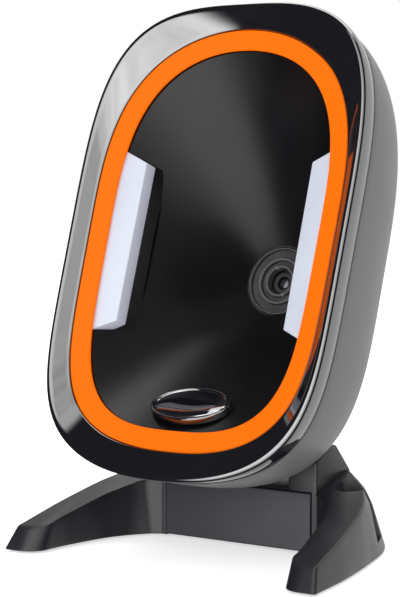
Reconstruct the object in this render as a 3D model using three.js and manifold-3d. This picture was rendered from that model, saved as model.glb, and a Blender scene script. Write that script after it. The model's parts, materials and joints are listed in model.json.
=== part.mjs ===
// Hands-free desktop barcode scanner: a tilting oval scan head on a horseshoe stand.
// Millimetres, +Z up, the user stands on the -Y side. The origin is the centre of the footprint.
import * as THREE from "three";
import { mergeVertices } from "three/addons/utils/BufferGeometryUtils.js";
import Module from "manifold-3d";

const wasm = await Module();
wasm.setup();

// ---------- driving dimensions ----------
const GAP = 0.3; // clearance between neighbouring pieces
const FOOT_PROUD = 0.6; // how far the rubber feet stand out of the stand's underside
const FOOTPRINT_SHIFT = -14.4; // moves the face plane's centre forward of the footprint's centre

// Scan head: it leans back, and its centre is the middle of the light ring.
const HEAD_LEAN = THREE.MathUtils.degToRad(18.6);
const HEAD_HEIGHT = 85.7;
const SEGMENTS = 48; // points round each oval outline

// Ovals: half width, half height above and below the centre, and how square each end is.
const BEZEL_OVAL = { half: 44.0, up: 65.2, down: 66.8, top: [3.2, 3.9], bottom: [2.3, 5.3], egg: 0.019 };
const SEAM_OVAL = { half: 43.1, up: 64.3, down: 65.6, top: [3.4, 3.8], bottom: [2.6, 5.0], egg: 0.022 };
const RING_OVAL = { half: 38.8, up: 58.4, down: 58.4, top: [2.0, 3.4], bottom: [2.5, 5.0], egg: 0.027 };
const INNER_OVAL = { half: 33.6, up: 53.2, down: 52.9, top: [2.1, 3.4], bottom: [2.9, 4.7], egg: 0.026 };
const BEZEL_FRONT = -2.9; // depths are measured into the head from the ring's front edge
const SEAM_DEPTH = 4.8;
const RING_BACK = 1.9;
const SHELL_DEPTH = 52;
const SHELL_WALL = 2;

// Scan funnel and camera
const FUNNEL_FRONT = 2.75;
const FUNNEL_BACK = 39.8;
const FUNNEL_WALL = 2;
const FLANGE_FRONT = 3.75;
const FLANGE_BACK = 5;
const CAMERA_HOLE = 10.4;
const CAMERA_DROP = -1.2; // the camera looks out slightly below the ring's centre
const BARREL_FRONT = 42.6;
const LENS_RADIUS = 1.6;
const SOCKET = { half: 7.6, low: -31.6, high: -20.4, front: 34.4, back: 40.4, wall: 1.2, floor: 1.6 };

// Circuit boards, by their depth and their extent up the face
const BOARD_THICK = 1.4;
const SENSOR_DEPTH = 44.8;
const SENSOR_BOARD = { half: 8.4, low: -7.4, high: 8.4 };
const MAIN_BOARD = { half: 18, front: 28.6, low: -40.5, high: -27.5 };
const LED_BOARD = { inner: 28.3, outer: 32.4, low: -22, high: 20.5 };
const LED_RADIUS = 1.5;
const LED_PLACES = [-17, -6, 5, 16];
const BEEPER = { radius: 5, port: 3.6, v: 36, front: 25.1, body: 25.8, back: 30.2 };

// Light diffusers, on both sides of the funnel
const DIFFUSER_INNER = 26.65;
const DIFFUSER_OUTER = 34.8;
const DIFFUSER_TOP = 21.7;
const DIFFUSER_BOTTOM = -23.7;
const DIFFUSER_FLARE = 4.1; // the ends spread by this much towards the ring
const DIFFUSER_FACE = 3.7;
const DIFFUSER_BACK = 8.2;
const DIFFUSER_SLOPE = 0.19;
const DIFFUSER_WALL = 1.2;
const DIFFUSER_REACH = 0.9; // how far a diffuser passes behind the ring

// Badge on the funnel's lower wall
const BADGE_WIDE = 24.3;
const BADGE_TALL = 15;
const BADGE_V = -45;
const BADGE_DEPTH = 8.3;

// Stand
const PIVOT = { y: 25, z: 19.5 };
const DECK_LEVEL = 12.05; // deck height on the line y = 0
const DECK_RISE = 0.27; // the deck climbs towards the back
const STAND_WALL = 2.4;
const PEDESTAL_HALF = 25.3;
const PEDESTAL_FRONT = 15.6;
const PEDESTAL_PROFILE = [
  [PEDESTAL_FRONT, 0],
  [PEDESTAL_FRONT, 25],
  [23, 28.5],
  [26.4, 28.5],
  [34, 21],
  [37, 16],
  [37, 0],
];
const YOKE_HALF = 16.3; // half the width between the two ears
const YOKE_FLOOR = 12.8;
const YOKE_SILL = 17; // height of the yoke's front wall
const PANEL = { half: 23.6, front: 15.1, back: 16.7, low: 0.6, top: 16.4 };
const PLATE_THICK = 2.4;
const BALLAST = { half: 19, neck: 12, front: 22, waist: 35, back: 41, top: 8.6 };
const PIN_RADIUS = 2;
const PIN_END = 21.6;
const PIN_CAP = { radius: 4, thick: 2, proud: 0.3 };
const WASHER_RADIUS = 5;
const NECK_RADIUS = 6;
const NECK_HALF = 14.9;
const NECK_TOP = 22; // the neck narrows to its top from behind
const NECK_SHOULDER = 10;
const NECK_BACK = 1.5;
const RECESS = { half: 26.8, front: 10.9, top: 10.8 }; // round the pedestal, from the tilt pin

// Right half of the stand's outline, from the front tip round the back to the middle, then back
// along the inside of the leg: [x, y] on the ground and the same corner's [x, y] at three heights.
const OUTLINE_HEIGHTS = [0, 14, 18, 24];
const STAND_OUTLINE = [
  [[49, -25.8], [45, -25.8], [44.4, -25.8], [43.4, -25.8]],
  [[48.1, -16], [45.4, -16], [44.8, -16], [43.8, -16]],
  [[46.9, -6.1], [45.2, -6.1], [44.7, -6.1], [43.8, -6.1]],
  [[44.6, 6.4], [43.3, 6.6], [42.8, 6.6], [41.5, 6.6]],
  [[42.6, 15.3], [41.1, 14.6], [40.2, 14.2], [37, 13.5]],
  [[40.7, 23.1], [38.2, 21.6], [36.8, 20.6], [31.5, 19]],
  [[38.3, 30.2], [35, 28], [33, 26.5], [27, 24.5]],
  [[33.6, 38.6], [30.6, 35], [28.8, 33.2], [22.6, 30.4]],
  [[26, 45.2], [23.6, 40.8], [22.2, 38.6], [17, 34.6]],
  [[14, 49.2], [12.8, 44.4], [12, 42], [9, 37]],
  [[0, 50.4], [0, 45.4], [0, 42.8], [0, 37.6]],
];
const INNER_OUTLINE = [
  [0, 16.2],
  [20, 16.2],
  [25.4, 15.6],
  [29.6, 12.9],
  [32.5, 7.8],
  [34.8, 2.2],
  [36.4, -5],
  [37.6, -12],
  [38.2, -18.8],
  [39.4, -23.2],
  [42.2, -25.8],
];

// The same half outline for the plate that closes the underside, which stops short of the tips
const PLATE_OUTER = [
  [45, -12],
  [43.6, -2],
  [41.4, 8],
  [38.6, 19],
  [35.4, 28],
  [30, 35.8],
  [23, 41.4],
  [12.5, 45.2],
  [0, 46.4],
];
const PLATE_INNER = [
  [0, 20],
  [27, 19.6],
  [32.4, 15.4],
  [35.6, 9.8],
  [38, 3.4],
  [39.4, -4],
  [40.2, -12],
];
const TIP_FRONT = -25.8;
const TIP_LEAN = 0.6; // the leg's front face leans back by this much for each millimetre up

// Cable channel down the right rear flank
const CHANNEL = { radius: 4, x: 31.6, y: 23, turn: 30, lean: -12, start: [3, 0, 2.6], reach: 16 };
const LINING = { radius: 7, x: 35.5, y: 25.5 };

// Fasteners and feet: [x, y], and the feet's radius
const BASE_SCREW = { shaft: 1.1, head: 2.2, tip: 7.2, well: 1.4, slot: 1.5, post: 2.6 };
const BASE_SCREWS = [
  [-40.4, 3],
  [40.4, 3],
  [-26, 35],
  [26, 35],
];
const FOOT_DEEP = 1;
const FEET = [
  [-43.6, -17.6, 3],
  [43.6, -17.6, 3],
  [-14, 39.4, 3.6],
  [14, 39.4, 3.6],
];

// Screws that hold the shell to the bezel, driven from behind: places on the face
const BOSS_RADIUS = 3.4;
const HEAD_SCREW = { shaft: 1.2, head: 2.3, seat: 12.5, back: 14.6, slot: 1.6 };
const SCREW_PLACES = [
  [-24, 50],
  [24, 50],
  [-22, -53],
  [22, -53],
];

// ---------- small tools ----------
function closedGeometry(positions, triangles) {
  const geometry = new THREE.BufferGeometry();
  geometry.setAttribute("position", new THREE.Float32BufferAttribute(positions, 3));
  geometry.setIndex(triangles);
  return geometry;
}

// A solid for joining and cutting. A shape drawn inside out is turned round.
function solid(geometry, matrix = new THREE.Matrix4()) {
  const bare = geometry.clone().applyMatrix4(matrix);
  bare.deleteAttribute("normal");
  bare.deleteAttribute("uv");
  const merged = mergeVertices(bare, 1e-3);
  const make = (triVerts) =>
    new wasm.Manifold(
      new wasm.Mesh({ numProp: 3, vertProperties: merged.attributes.position.array, triVerts }),
    );
  const triVerts = new Uint32Array(merged.index.array);
  const made = make(triVerts);
  return made.volume() > 0 ? made : make(triVerts.reverse());
}

function geometryOf(manifold) {
  const mesh = manifold.getMesh();
  return closedGeometry(Array.from(mesh.vertProperties), Array.from(mesh.triVerts));
}

function at(x, y, z) {
  return new THREE.Matrix4().makeTranslation(x, y, z);
}

function turned(x, y, z, axis, angle) {
  return at(x, y, z).multiply(new THREE.Matrix4().makeRotationAxis(axis, angle));
}

const X = new THREE.Vector3(1, 0, 0);
const Y = new THREE.Vector3(0, 1, 0);
const Z = new THREE.Vector3(0, 0, 1);

function box(x0, x1, y0, y1, z0, z1) {
  const geometry = new THREE.BoxGeometry(x1 - x0, y1 - y0, z1 - z0);
  return solid(geometry, at((x0 + x1) / 2, (y0 + y1) / 2, (z0 + z1) / 2));
}

// Cylinder along X, Y or Z from one end to the other.
function rod(radius, axis, from, to, a, b, sides = 24) {
  const geometry = new THREE.CylinderGeometry(radius, radius, to - from, sides);
  const middle = (from + to) / 2;
  if (axis === "x") return solid(geometry, turned(middle, a, b, Z, Math.PI / 2));
  if (axis === "y") return solid(geometry, at(a, middle, b));
  return solid(geometry, turned(a, b, middle, X, Math.PI / 2));
}

// A turned piece on an axis that runs into the head: profile of [radius, depth].
function turnedPiece(profile, sides = 36) {
  const points = profile.map(([radius, depth]) => new THREE.Vector2(radius, depth));
  return solid(new THREE.LatheGeometry(points, sides), at(0, 0, CAMERA_DROP));
}

function extruded(outline, height) {
  const shape = new THREE.Shape(outline.map(([x, y]) => new THREE.Vector2(x, y)));
  return new THREE.ExtrudeGeometry(shape, { depth: height, bevelEnabled: false });
}

// A side profile of [y, z] drawn out to both sides of the middle
function sideExtrusion(profile, half) {
  const place = new THREE.Matrix4().makeBasis(Y, Z, X).setPosition(-half, 0, 0);
  return solid(extruded(profile, 2 * half), place);
}

// A flat cap on a ring of points, as triangles that go round the same way as the ring.
function cap(ring) {
  const standsUp = ring.every((point) => Math.abs(point[1] - ring[0][1]) < 1e-6);
  const flat = ring.map(([x, y, z]) => new THREE.Vector2(x, standsUp ? z : y));
  const faces = THREE.ShapeUtils.triangulateShape(flat, []);
  const area = faces.reduce((sum, face) => sum + THREE.ShapeUtils.area(face.map((i) => flat[i])), 0);
  const sameWay = area * THREE.ShapeUtils.area(flat) > 0;
  return sameWay ? faces : faces.map((face) => [...face].reverse());
}

// Rings of points, all of one length, joined into a skin. "loop" closes it on its first ring;
// otherwise both ends are capped.
function skin(rings, loop) {
  const count = rings[0].length;
  const triangles = [];
  const spans = loop ? rings.length : rings.length - 1;
  for (let r = 0; r < spans; r++) {
    const here = r * count;
    const next = ((r + 1) % rings.length) * count;
    for (let i = 0; i < count; i++) {
      const j = (i + 1) % count;
      triangles.push(here + i, here + j, next + j, here + i, next + j, next + i);
    }
  }
  if (!loop) {
    const last = (rings.length - 1) * count;
    for (const [i, j, k] of cap(rings[0])) triangles.push(k, j, i);
    for (const [i, j, k] of cap(rings.at(-1))) triangles.push(last + i, last + j, last + k);
  }
  return closedGeometry(rings.flat(2), triangles);
}

// ---------- ovals of the head: x across, y depth, z up the face ----------
function grown(oval, by) {
  return { ...oval, half: oval.half + by, up: oval.up + by, down: oval.down + by };
}

function scaled(oval, factor) {
  return { ...oval, half: oval.half * factor, up: oval.up * factor, down: oval.down * factor };
}

function blended(a, b, s) {
  const mix = (p, q) => p + (q - p) * s;
  return {
    half: mix(a.half, b.half),
    up: mix(a.up, b.up),
    down: mix(a.down, b.down),
    top: [mix(a.top[0], b.top[0]), mix(a.top[1], b.top[1])],
    bottom: [mix(a.bottom[0], b.bottom[0]), mix(a.bottom[1], b.bottom[1])],
    egg: mix(a.egg, b.egg),
    drop: mix(a.drop ?? 0, b.drop ?? 0),
  };
}

function ovalRing(oval, depth) {
  const ring = [];
  for (let i = 0; i < SEGMENTS; i++) {
    const angle = (i / SEGMENTS) * 2 * Math.PI;
    const c = Math.cos(angle);
    const s = Math.sin(angle);
    const [across, along] = s > 0 ? oval.top : oval.bottom;
    const reach = s > 0 ? oval.up : oval.down;
    const v = reach * Math.sign(s) * Math.abs(s) ** (2 / along);
    const u = oval.half * Math.sign(c) * Math.abs(c) ** (2 / across) * (1 + (oval.egg * v) / 65);
    ring.push([u, depth, v + (oval.drop ?? 0)]);
  }
  return ring;
}

const ringLoop = (stations) => solid(skin(stations.map(([oval, depth]) => ovalRing(oval, depth)), true));
const ovalBlock = (stations) => solid(skin(stations.map(([oval, depth]) => ovalRing(oval, depth)), false));

// ---------- head pieces ----------
function frontBezel() {
  return ringLoop([
    [grown(BEZEL_OVAL, -0.9), BEZEL_FRONT],
    [grown(BEZEL_OVAL, -0.2), BEZEL_FRONT + 0.2],
    [BEZEL_OVAL, BEZEL_FRONT + 0.9],
    [SEAM_OVAL, SEAM_DEPTH - GAP / 2],
    [grown(SEAM_OVAL, -1.8), SEAM_DEPTH - GAP / 2],
    [grown(SEAM_OVAL, -1.8), 1.4],
    [grown(RING_OVAL, 1), 3.4],
    [grown(INNER_OVAL, 1.7), 3.4],
    [grown(INNER_OVAL, 1.7), RING_BACK + GAP],
    [grown(RING_OVAL, GAP), RING_BACK + GAP],
    [grown(RING_OVAL, GAP), -0.1],
  ]);
}

function statusRing() {
  return ringLoop([
    [RING_OVAL, 0],
    [RING_OVAL, RING_BACK],
    [INNER_OVAL, RING_BACK],
    [INNER_OVAL, 1.15],
  ]);
}

const FUNNEL_MOUTH = grown(INNER_OVAL, -0.1);
const FUNNEL_THROAT = {
  half: CAMERA_HOLE,
  up: CAMERA_HOLE,
  down: CAMERA_HOLE,
  top: [2, 2],
  bottom: [2, 2],
  egg: 0,
  drop: CAMERA_DROP,
};

function funnelAt(depth, wall) {
  const s = (depth - FUNNEL_FRONT) / (FUNNEL_BACK - FUNNEL_FRONT);
  return grown(blended(FUNNEL_MOUTH, FUNNEL_THROAT, s), wall);
}

// One diffuser's outline as a wedge, on the side of the given sign, spread by a clearance.
function diffuserBlock(side, spread, from, to) {
  const inner = DIFFUSER_INNER - spread;
  const outer = DIFFUSER_OUTER + 1;
  const outline = [
    [inner, DIFFUSER_BOTTOM - spread],
    [outer, DIFFUSER_BOTTOM - DIFFUSER_FLARE - spread],
    [outer, DIFFUSER_TOP + DIFFUSER_FLARE + spread],
    [inner, DIFFUSER_TOP + spread],
  ].map(([u, v]) => [side * u, -v]);
  return solid(extruded(outline, to - from), turned(0, from, 0, X, -Math.PI / 2));
}

function diffuserFaceCut(side, back) {
  const angle = Math.atan(DIFFUSER_SLOPE);
  const geometry = new THREE.BoxGeometry(40, 20, 80);
  const place = turned(side * DIFFUSER_INNER, DIFFUSER_FACE + back, 0, Z, -side * angle);
  return solid(geometry, place.multiply(at(0, -10, 0)));
}

function diffuser(side) {
  const wedge = (inset, back) => {
    const rim = grown(INNER_OVAL, DIFFUSER_REACH - inset);
    return diffuserBlock(side, -inset, 0, back)
      .intersect(ovalBlock([[rim, -1], [rim, DIFFUSER_BACK + 4]]))
      .subtract(diffuserFaceCut(side, inset));
  };
  return wedge(0, DIFFUSER_BACK).subtract(wedge(DIFFUSER_WALL, DIFFUSER_BACK + 1));
}

function ledBoard(side) {
  const { inner, outer, low, high } = LED_BOARD;
  const middle = (side * (inner + outer)) / 2;
  const half = (outer - inner) / 2;
  const front = DIFFUSER_BACK + GAP;
  let board = box(middle - half, middle + half, front, front + BOARD_THICK, low, high);
  for (const v of LED_PLACES) {
    board = board.add(rod(LED_RADIUS, "y", DIFFUSER_BACK - 1, front + GAP, middle, v, 10));
  }
  return board;
}

// Badge: an oval lens on the funnel's lower wall, drawn flat and then laid on the slope.
const BADGE_TURN = Math.atan2(FUNNEL_BACK - 1.15, INNER_OVAL.down - CAMERA_HOLE + CAMERA_DROP);
const BADGE_PLACE = turned(0, BADGE_DEPTH, BADGE_V, X, -BADGE_TURN).multiply(
  new THREE.Matrix4().makeRotationAxis(X, Math.PI / 2),
);

function badgeOval(spread, low, high, dome) {
  const rings = [];
  const steps = dome ? [[1, low], [1, high - 0.7], [0.93, high - 0.2], [0.6, high]] : [[1, low], [1, high]];
  for (const [factor, height] of steps) {
    const ring = [];
    for (let i = 0; i < 32; i++) {
      const angle = (i / 32) * 2 * Math.PI;
      const wide = (BADGE_WIDE / 2 + spread) * factor * Math.cos(angle);
      const tall = (BADGE_TALL / 2 + spread) * factor * Math.sin(angle);
      ring.push([wide, tall, height]);
    }
    rings.push(ring);
  }
  return solid(skin(rings, false), BADGE_PLACE);
}

function scanFunnel() {
  const depths = [0, 0.2, 0.4, 0.6, 0.8, 1].map((s) => FUNNEL_FRONT + s * (FUNNEL_BACK - FUNNEL_FRONT));
  const inside = depths.map((depth) => [funnelAt(depth, 0), depth]).reverse();
  const outside = depths.slice(1).map((depth) => [funnelAt(depth, FUNNEL_WALL), depth]);
  let funnel = ringLoop([
    ...inside,
    [grown(FUNNEL_MOUTH, 1.2), FUNNEL_FRONT],
    [grown(FUNNEL_MOUTH, 1.2), FLANGE_FRONT],
    [grown(RING_OVAL, 1.6), FLANGE_FRONT],
    [grown(RING_OVAL, 1.6), FLANGE_BACK],
    [funnelAt(FLANGE_BACK, FUNNEL_WALL), FLANGE_BACK],
    ...outside,
  ]);
  const windowRim = grown(INNER_OVAL, DIFFUSER_REACH + GAP);
  const windowArea = ovalBlock([[windowRim, 0], [windowRim, 16]]);
  for (const side of [-1, 1]) {
    funnel = funnel.subtract(diffuserBlock(side, GAP, 1, 15).intersect(windowArea));
  }
  return funnel.subtract(badgeOval(GAP, -0.6, 4, false));
}

function cameraBezel() {
  const front = FUNNEL_BACK + GAP;
  return turnedPiece([
    [3.7, front + 2],
    [3.7, front + 0.6],
    [4.7, front],
    [4.9, front + 0.7],
    [5.9, front + 0.7],
    [6.2, front],
    [6.9, front],
    [7.1, front + 0.7],
    [9.1, front + 0.7],
    [9.4, front],
    [12.2, front],
    [12.2, front + 2],
    [3.7, front + 2],
  ]);
}

function lensBarrel() {
  const bore = LENS_RADIUS + GAP;
  const back = SENSOR_DEPTH - GAP;
  return turnedPiece([
    [bore, BARREL_FRONT],
    [3.2, BARREL_FRONT],
    [3.2, BARREL_FRONT + 1],
    [4.6, BARREL_FRONT + 1],
    [4.6, back],
    [bore, back],
    [bore, BARREL_FRONT],
  ]);
}

function frontLens() {
  const profile = [
    [0, 0.1],
    [1, 0.25],
    [LENS_RADIUS, 0.7],
    [LENS_RADIUS, 1.7],
    [0, 1.7],
  ];
  return turnedPiece(profile.map(([radius, depth]) => [radius, BARREL_FRONT + depth]), 24);
}

function sensorBoard() {
  const { half, low, high } = SENSOR_BOARD;
  const back = SENSOR_DEPTH + BOARD_THICK;
  const chip = box(-3.5, 3.5, back - 0.2, back + 0.6, -5, 3);
  return box(-half, half, SENSOR_DEPTH, back, low, high).add(chip);
}

function mainBoard() {
  const { half, front, low, high } = MAIN_BOARD;
  const back = front + BOARD_THICK;
  const processor = box(-6, 6, back - 0.2, back + 1.2, low + 1.5, high - 2.5);
  const connector = box(10, 16, back - 0.2, back + 2.2, low + 3.5, high - 3.5);
  return box(-half, half, front, back, low, high).add(processor).add(connector);
}

function beeper() {
  const { radius, port, v, front, body, back } = BEEPER;
  return rod(radius, "y", body, back, 0, v, 28).add(rod(port, "y", front, body + 0.4, 0, v, 28));
}

// Rear shell: the seam oval's sides and top run back nearly straight and then close in a dome. Its
// bottom follows a curve of its own. Each curve is [share of the seam oval, depth].
const sideCurve = new THREE.CubicBezierCurve(
  new THREE.Vector2(1, SEAM_DEPTH + GAP / 2),
  new THREE.Vector2(1, 29.2),
  new THREE.Vector2(0.815, SHELL_DEPTH - 3.1),
  new THREE.Vector2(0, SHELL_DEPTH),
);
const bottomCurve = new THREE.CubicBezierCurve(
  new THREE.Vector2(1, SEAM_DEPTH + GAP / 2),
  new THREE.Vector2(0.992, 35.7),
  new THREE.Vector2(0.848, 29),
  new THREE.Vector2(0, SHELL_DEPTH),
);
const SIDE_ROUNDING = 0.545; // how soon the sections turn into ellipses
const BOTTOM_ROUNDING = 2.4;

// The bottom's share of the seam oval at a depth
function bottomShare(depth) {
  let low = 0;
  let high = 1;
  for (let i = 0; i < 30; i++) {
    const middle = (low + high) / 2;
    if (bottomCurve.getPoint(middle).y < depth) low = middle;
    else high = middle;
  }
  return bottomCurve.getPoint(low).x;
}

function shellStations(inset, from, to, count) {
  const stations = [];
  for (let i = 0; i <= count; i++) {
    const t = from + ((to - from) * i) / count;
    const { x: share, y: depth } = sideCurve.getPoint(t);
    const lowShare = bottomShare(depth);
    const round = { ...SEAM_OVAL, top: [2, 2], egg: 0 };
    const section = blended(SEAM_OVAL, round, Math.max(0, 1 - share) ** SIDE_ROUNDING);
    const bottomRound = Math.max(0, 1 - lowShare) ** BOTTOM_ROUNDING;
    const size = {
      ...scaled(section, share),
      down: SEAM_OVAL.down * lowShare,
      bottom: SEAM_OVAL.bottom.map((power) => power + (2 - power) * bottomRound),
    };
    stations.push([grown(size, -Math.min(inset, size.half - 1)), depth - (inset * i) / count]);
  }
  return stations;
}

// Where the tilt pin runs, in the head's own frame.
const PIVOT_DEPTH = PIVOT.y * Math.cos(HEAD_LEAN) - (PIVOT.z - HEAD_HEIGHT) * Math.sin(HEAD_LEAN);
const PIVOT_V = PIVOT.y * Math.sin(HEAD_LEAN) + (PIVOT.z - HEAD_HEIGHT) * Math.cos(HEAD_LEAN);

// A shape drawn upright round the tilt pin, leaning back with the head
function upright(shape) {
  return shape.transform(turned(0, PIVOT_DEPTH, PIVOT_V, X, HEAD_LEAN).elements);
}

// The neck under the shell, which turns on the pin and slopes up into the shell's back
function neck() {
  const outline = [
    [-NECK_RADIUS, 0],
    [NECK_RADIUS, 0],
    [NECK_RADIUS, NECK_SHOULDER],
    [NECK_BACK, NECK_TOP],
    [-NECK_RADIUS, NECK_TOP],
  ];
  const knuckle = rod(NECK_RADIUS, "x", -NECK_HALF, NECK_HALF, 0, 0, 32);
  return upright(knuckle.add(sideExtrusion(outline, NECK_HALF)));
}

// The recess in the shell's underside, where the pedestal stands
function pedestalRecess(wall) {
  const { half, front, top } = RECESS;
  return upright(box(-half - wall, half + wall, -front - wall, 60, -60, top + wall));
}

function rearShell() {
  const outside = ovalBlock(shellStations(0, 0, 0.985, 11));
  const inside = ovalBlock([
    [grown(SEAM_OVAL, -SHELL_WALL), SEAM_DEPTH - 2],
    ...shellStations(SHELL_WALL, 0.04, 0.96, 12),
  ]);
  const pinHole = rod(PIN_RADIUS + 0.1, "x", -NECK_HALF - 2, NECK_HALF + 2, PIVOT_DEPTH, PIVOT_V, 32);
  const body = outside.subtract(pedestalRecess(0));
  const cavity = inside.subtract(pedestalRecess(SHELL_WALL));
  let shell = body.add(neck()).subtract(cavity).subtract(pinHole);
  shell = shell.subtract(socketPocket());
  for (const place of SCREW_PLACES) shell = shell.add(screwBoss(place).intersect(body));
  for (const place of SCREW_PLACES) shell = shell.subtract(screwWell(place));
  return shell;
}

// Data and power socket in the back of the shell, above the neck
function socketPocket() {
  const { half, low, high, front } = SOCKET;
  return box(-half - GAP, half + GAP, front - GAP, SHELL_DEPTH + 2, low - GAP, high + GAP);
}

function dataSocket() {
  const { half, low, high, front, back, wall, floor } = SOCKET;
  const mouth = box(-half + wall, half - wall, front + floor, back + 1, low + wall, high - wall);
  return box(-half, half, front, back, low, high).subtract(mouth);
}

function screwBoss([u, v]) {
  return rod(BOSS_RADIUS, "y", FLANGE_BACK + 1, SHELL_DEPTH, u, v, 20);
}

function screwWell([u, v]) {
  const shaft = rod(HEAD_SCREW.shaft + GAP, "y", FLANGE_BACK + GAP, HEAD_SCREW.seat + 1, u, v, 16);
  return shaft.add(rod(HEAD_SCREW.head + GAP, "y", HEAD_SCREW.seat, SHELL_DEPTH + 2, u, v, 20));
}

function headScrew([u, v]) {
  const { shaft, head, seat, back, slot } = HEAD_SCREW;
  return rod(shaft, "y", FLANGE_BACK + 2 * GAP, seat + 1, u, v, 16)
    .add(rod(head, "y", seat + GAP, back, u, v, 20))
    .subtract(box(u - slot, u + slot, back - 0.6, back + 1, v - GAP, v + GAP))
    .subtract(box(u - GAP, u + GAP, back - 0.6, back + 1, v - slot, v + slot));
}

// ---------- stand pieces ----------
// A horseshoe outline from its right half: outside from the tip to the back, and inside forwards.
function bothHalves(outer, inner) {
  const mirrored = ([x, y]) => [-x, y];
  return [
    ...outer,
    ...outer.slice(0, -1).reverse().map(mirrored),
    ...inner.slice(1).reverse().map(mirrored),
    ...inner,
  ];
}

// Everything above the sloping deck, lowered by a wall's thickness where the inside is wanted
function aboveDeck(lowered) {
  const slab = new THREE.BoxGeometry(140, 140, 60);
  const slope = turned(0, 0, DECK_LEVEL - lowered, X, Math.atan(DECK_RISE));
  return solid(slab, slope.multiply(at(0, 0, 30)));
}

function standBlock() {
  const rings = OUTLINE_HEIGHTS.map((height, level) => {
    const outer = STAND_OUTLINE.map((corner) => corner[level]);
    return bothHalves(outer, INNER_OUTLINE).map(([x, y]) => [x, y, height]);
  });
  const ahead = new THREE.BoxGeometry(140, 40, 90);
  const tipCut = solid(ahead, turned(0, TIP_FRONT, 0, X, -Math.atan(TIP_LEAN)).multiply(at(0, -20, 0)));
  return solid(skin(rings, false)).subtract(aboveDeck(0)).subtract(tipCut);
}

// The cable channel down the right rear flank
function cableChannel() {
  const { radius, x, y, turn, lean, start, reach } = CHANNEL;
  const outline = [];
  for (let i = 0; i <= 10; i++) {
    const angle = Math.PI / 2 + (i / 10) * Math.PI;
    outline.push([radius * Math.cos(angle), radius * Math.sin(angle)]);
  }
  outline.push([reach, -radius], [reach, radius]);
  const place = turned(x, y, 0, Z, THREE.MathUtils.degToRad(turn));
  return solid(extruded(outline, 40), place.multiply(turned(...start, Y, THREE.MathUtils.degToRad(lean))));
}

// Material kept behind the cable channel, so that the channel is a groove and not a window
function channelLining(spread) {
  return rod(LINING.radius + spread, "z", -20, 20, LINING.x, LINING.y, 28);
}

// The plate's outline, drawn in by an inset
function plateOutline(inset) {
  const end = PLATE_OUTER[0][1] + inset;
  const moved = (by) => ([x, y]) => (x > 0 ? [x + by, Math.max(y, end)] : [0, y + by]);
  return bothHalves(PLATE_OUTER.map(moved(-inset)), PLATE_INNER.map(moved(inset)));
}

function screwHole([x, y], top) {
  const { shaft, head, well } = BASE_SCREW;
  return rod(shaft + GAP, "z", -1, top, x, y, 16).add(rod(head + GAP, "z", -1, well, x, y, 20));
}

function footPocket([x, y, radius]) {
  return rod(radius + GAP, "z", -1, FOOT_DEEP + GAP, x, y, 24);
}

// The slot across the pedestal for the head's neck, open above, with a lower front wall
function yoke() {
  const slot = box(-YOKE_HALF, YOKE_HALF, PEDESTAL_FRONT + 2.2, 34.5, YOKE_FLOOR, 40);
  return slot.add(box(-YOKE_HALF, YOKE_HALF, PEDESTAL_FRONT - 2, PEDESTAL_FRONT + 4, YOKE_SILL, 40));
}

// The bore for the tilt pin, closed at the right ear and wider at the left for its cap
function pinBore() {
  const end = -PEDESTAL_HALF - 1;
  const bore = rod(PIN_RADIUS + GAP, "x", end, PIN_END + 0.4, PIVOT.y, PIVOT.z, 24);
  const seat = -PEDESTAL_HALF + PIN_CAP.thick;
  return bore.add(rod(PIN_CAP.radius + GAP, "x", end, seat, PIVOT.y, PIVOT.z, 28));
}

function panelSlot() {
  const { half, front, back, top } = PANEL;
  return box(-half - GAP, half + GAP, front - 2, back + GAP, -2, top + GAP);
}

function standBase() {
  const cavity = solid(extruded(plateOutline(0), 12.6), at(0, 0, -1)).subtract(aboveDeck(STAND_WALL));
  const lining = solid(extruded(plateOutline(0), 12)).intersect(channelLining(0));
  const block = standBlock();
  let base = block.add(sideExtrusion(PEDESTAL_PROFILE, PEDESTAL_HALF)).subtract(cavity);
  base = base.subtract(yoke()).add(lining).subtract(cableChannel());
  for (const [x, y] of BASE_SCREWS) {
    const post = rod(BASE_SCREW.post, "z", PLATE_THICK + GAP, 14, x, y, 20).intersect(block);
    base = base.add(post).subtract(screwHole([x, y], BASE_SCREW.tip + GAP));
  }
  for (const place of FEET.slice(0, 2)) base = base.subtract(footPocket(place));
  return base.subtract(pinBore()).subtract(panelSlot());
}

function frontPanel() {
  const { half, front, back, low, top } = PANEL;
  return box(-half, half, front, back, low, top);
}

function basePlate() {
  let plate = solid(extruded(plateOutline(GAP), PLATE_THICK));
  for (const place of BASE_SCREWS) plate = plate.subtract(screwHole(place, PLATE_THICK + 1));
  for (const place of FEET.slice(2)) plate = plate.subtract(footPocket(place));
  return plate.subtract(channelLining(GAP));
}

function ballast() {
  const { half, neck: narrow, front, waist, back, top } = BALLAST;
  const low = PLATE_THICK + GAP;
  return box(-half, half, front, waist, low, top).add(box(-narrow, narrow, waist - 1, back, low, top));
}

function baseScrew([x, y]) {
  const { shaft, head, tip, slot } = BASE_SCREW;
  return rod(shaft, "z", 0.6, tip, x, y, 16)
    .add(rod(head, "z", GAP, 1.1, x, y, 20))
    .subtract(box(x - slot, x + slot, y - GAP, y + GAP, 0, 0.7))
    .subtract(box(x - GAP, x + GAP, y - slot, y + slot, 0, 0.7));
}

function tiltPin() {
  const capBack = -PEDESTAL_HALF - PIN_CAP.proud + PIN_CAP.thick;
  return rod(PIN_RADIUS, "x", capBack + 0.5, PIN_END, PIVOT.y, PIVOT.z, 28);
}

function pinCap() {
  const front = -PEDESTAL_HALF - PIN_CAP.proud;
  return rod(PIN_CAP.radius, "x", front, front + PIN_CAP.thick, PIVOT.y, PIVOT.z, 28);
}

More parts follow.
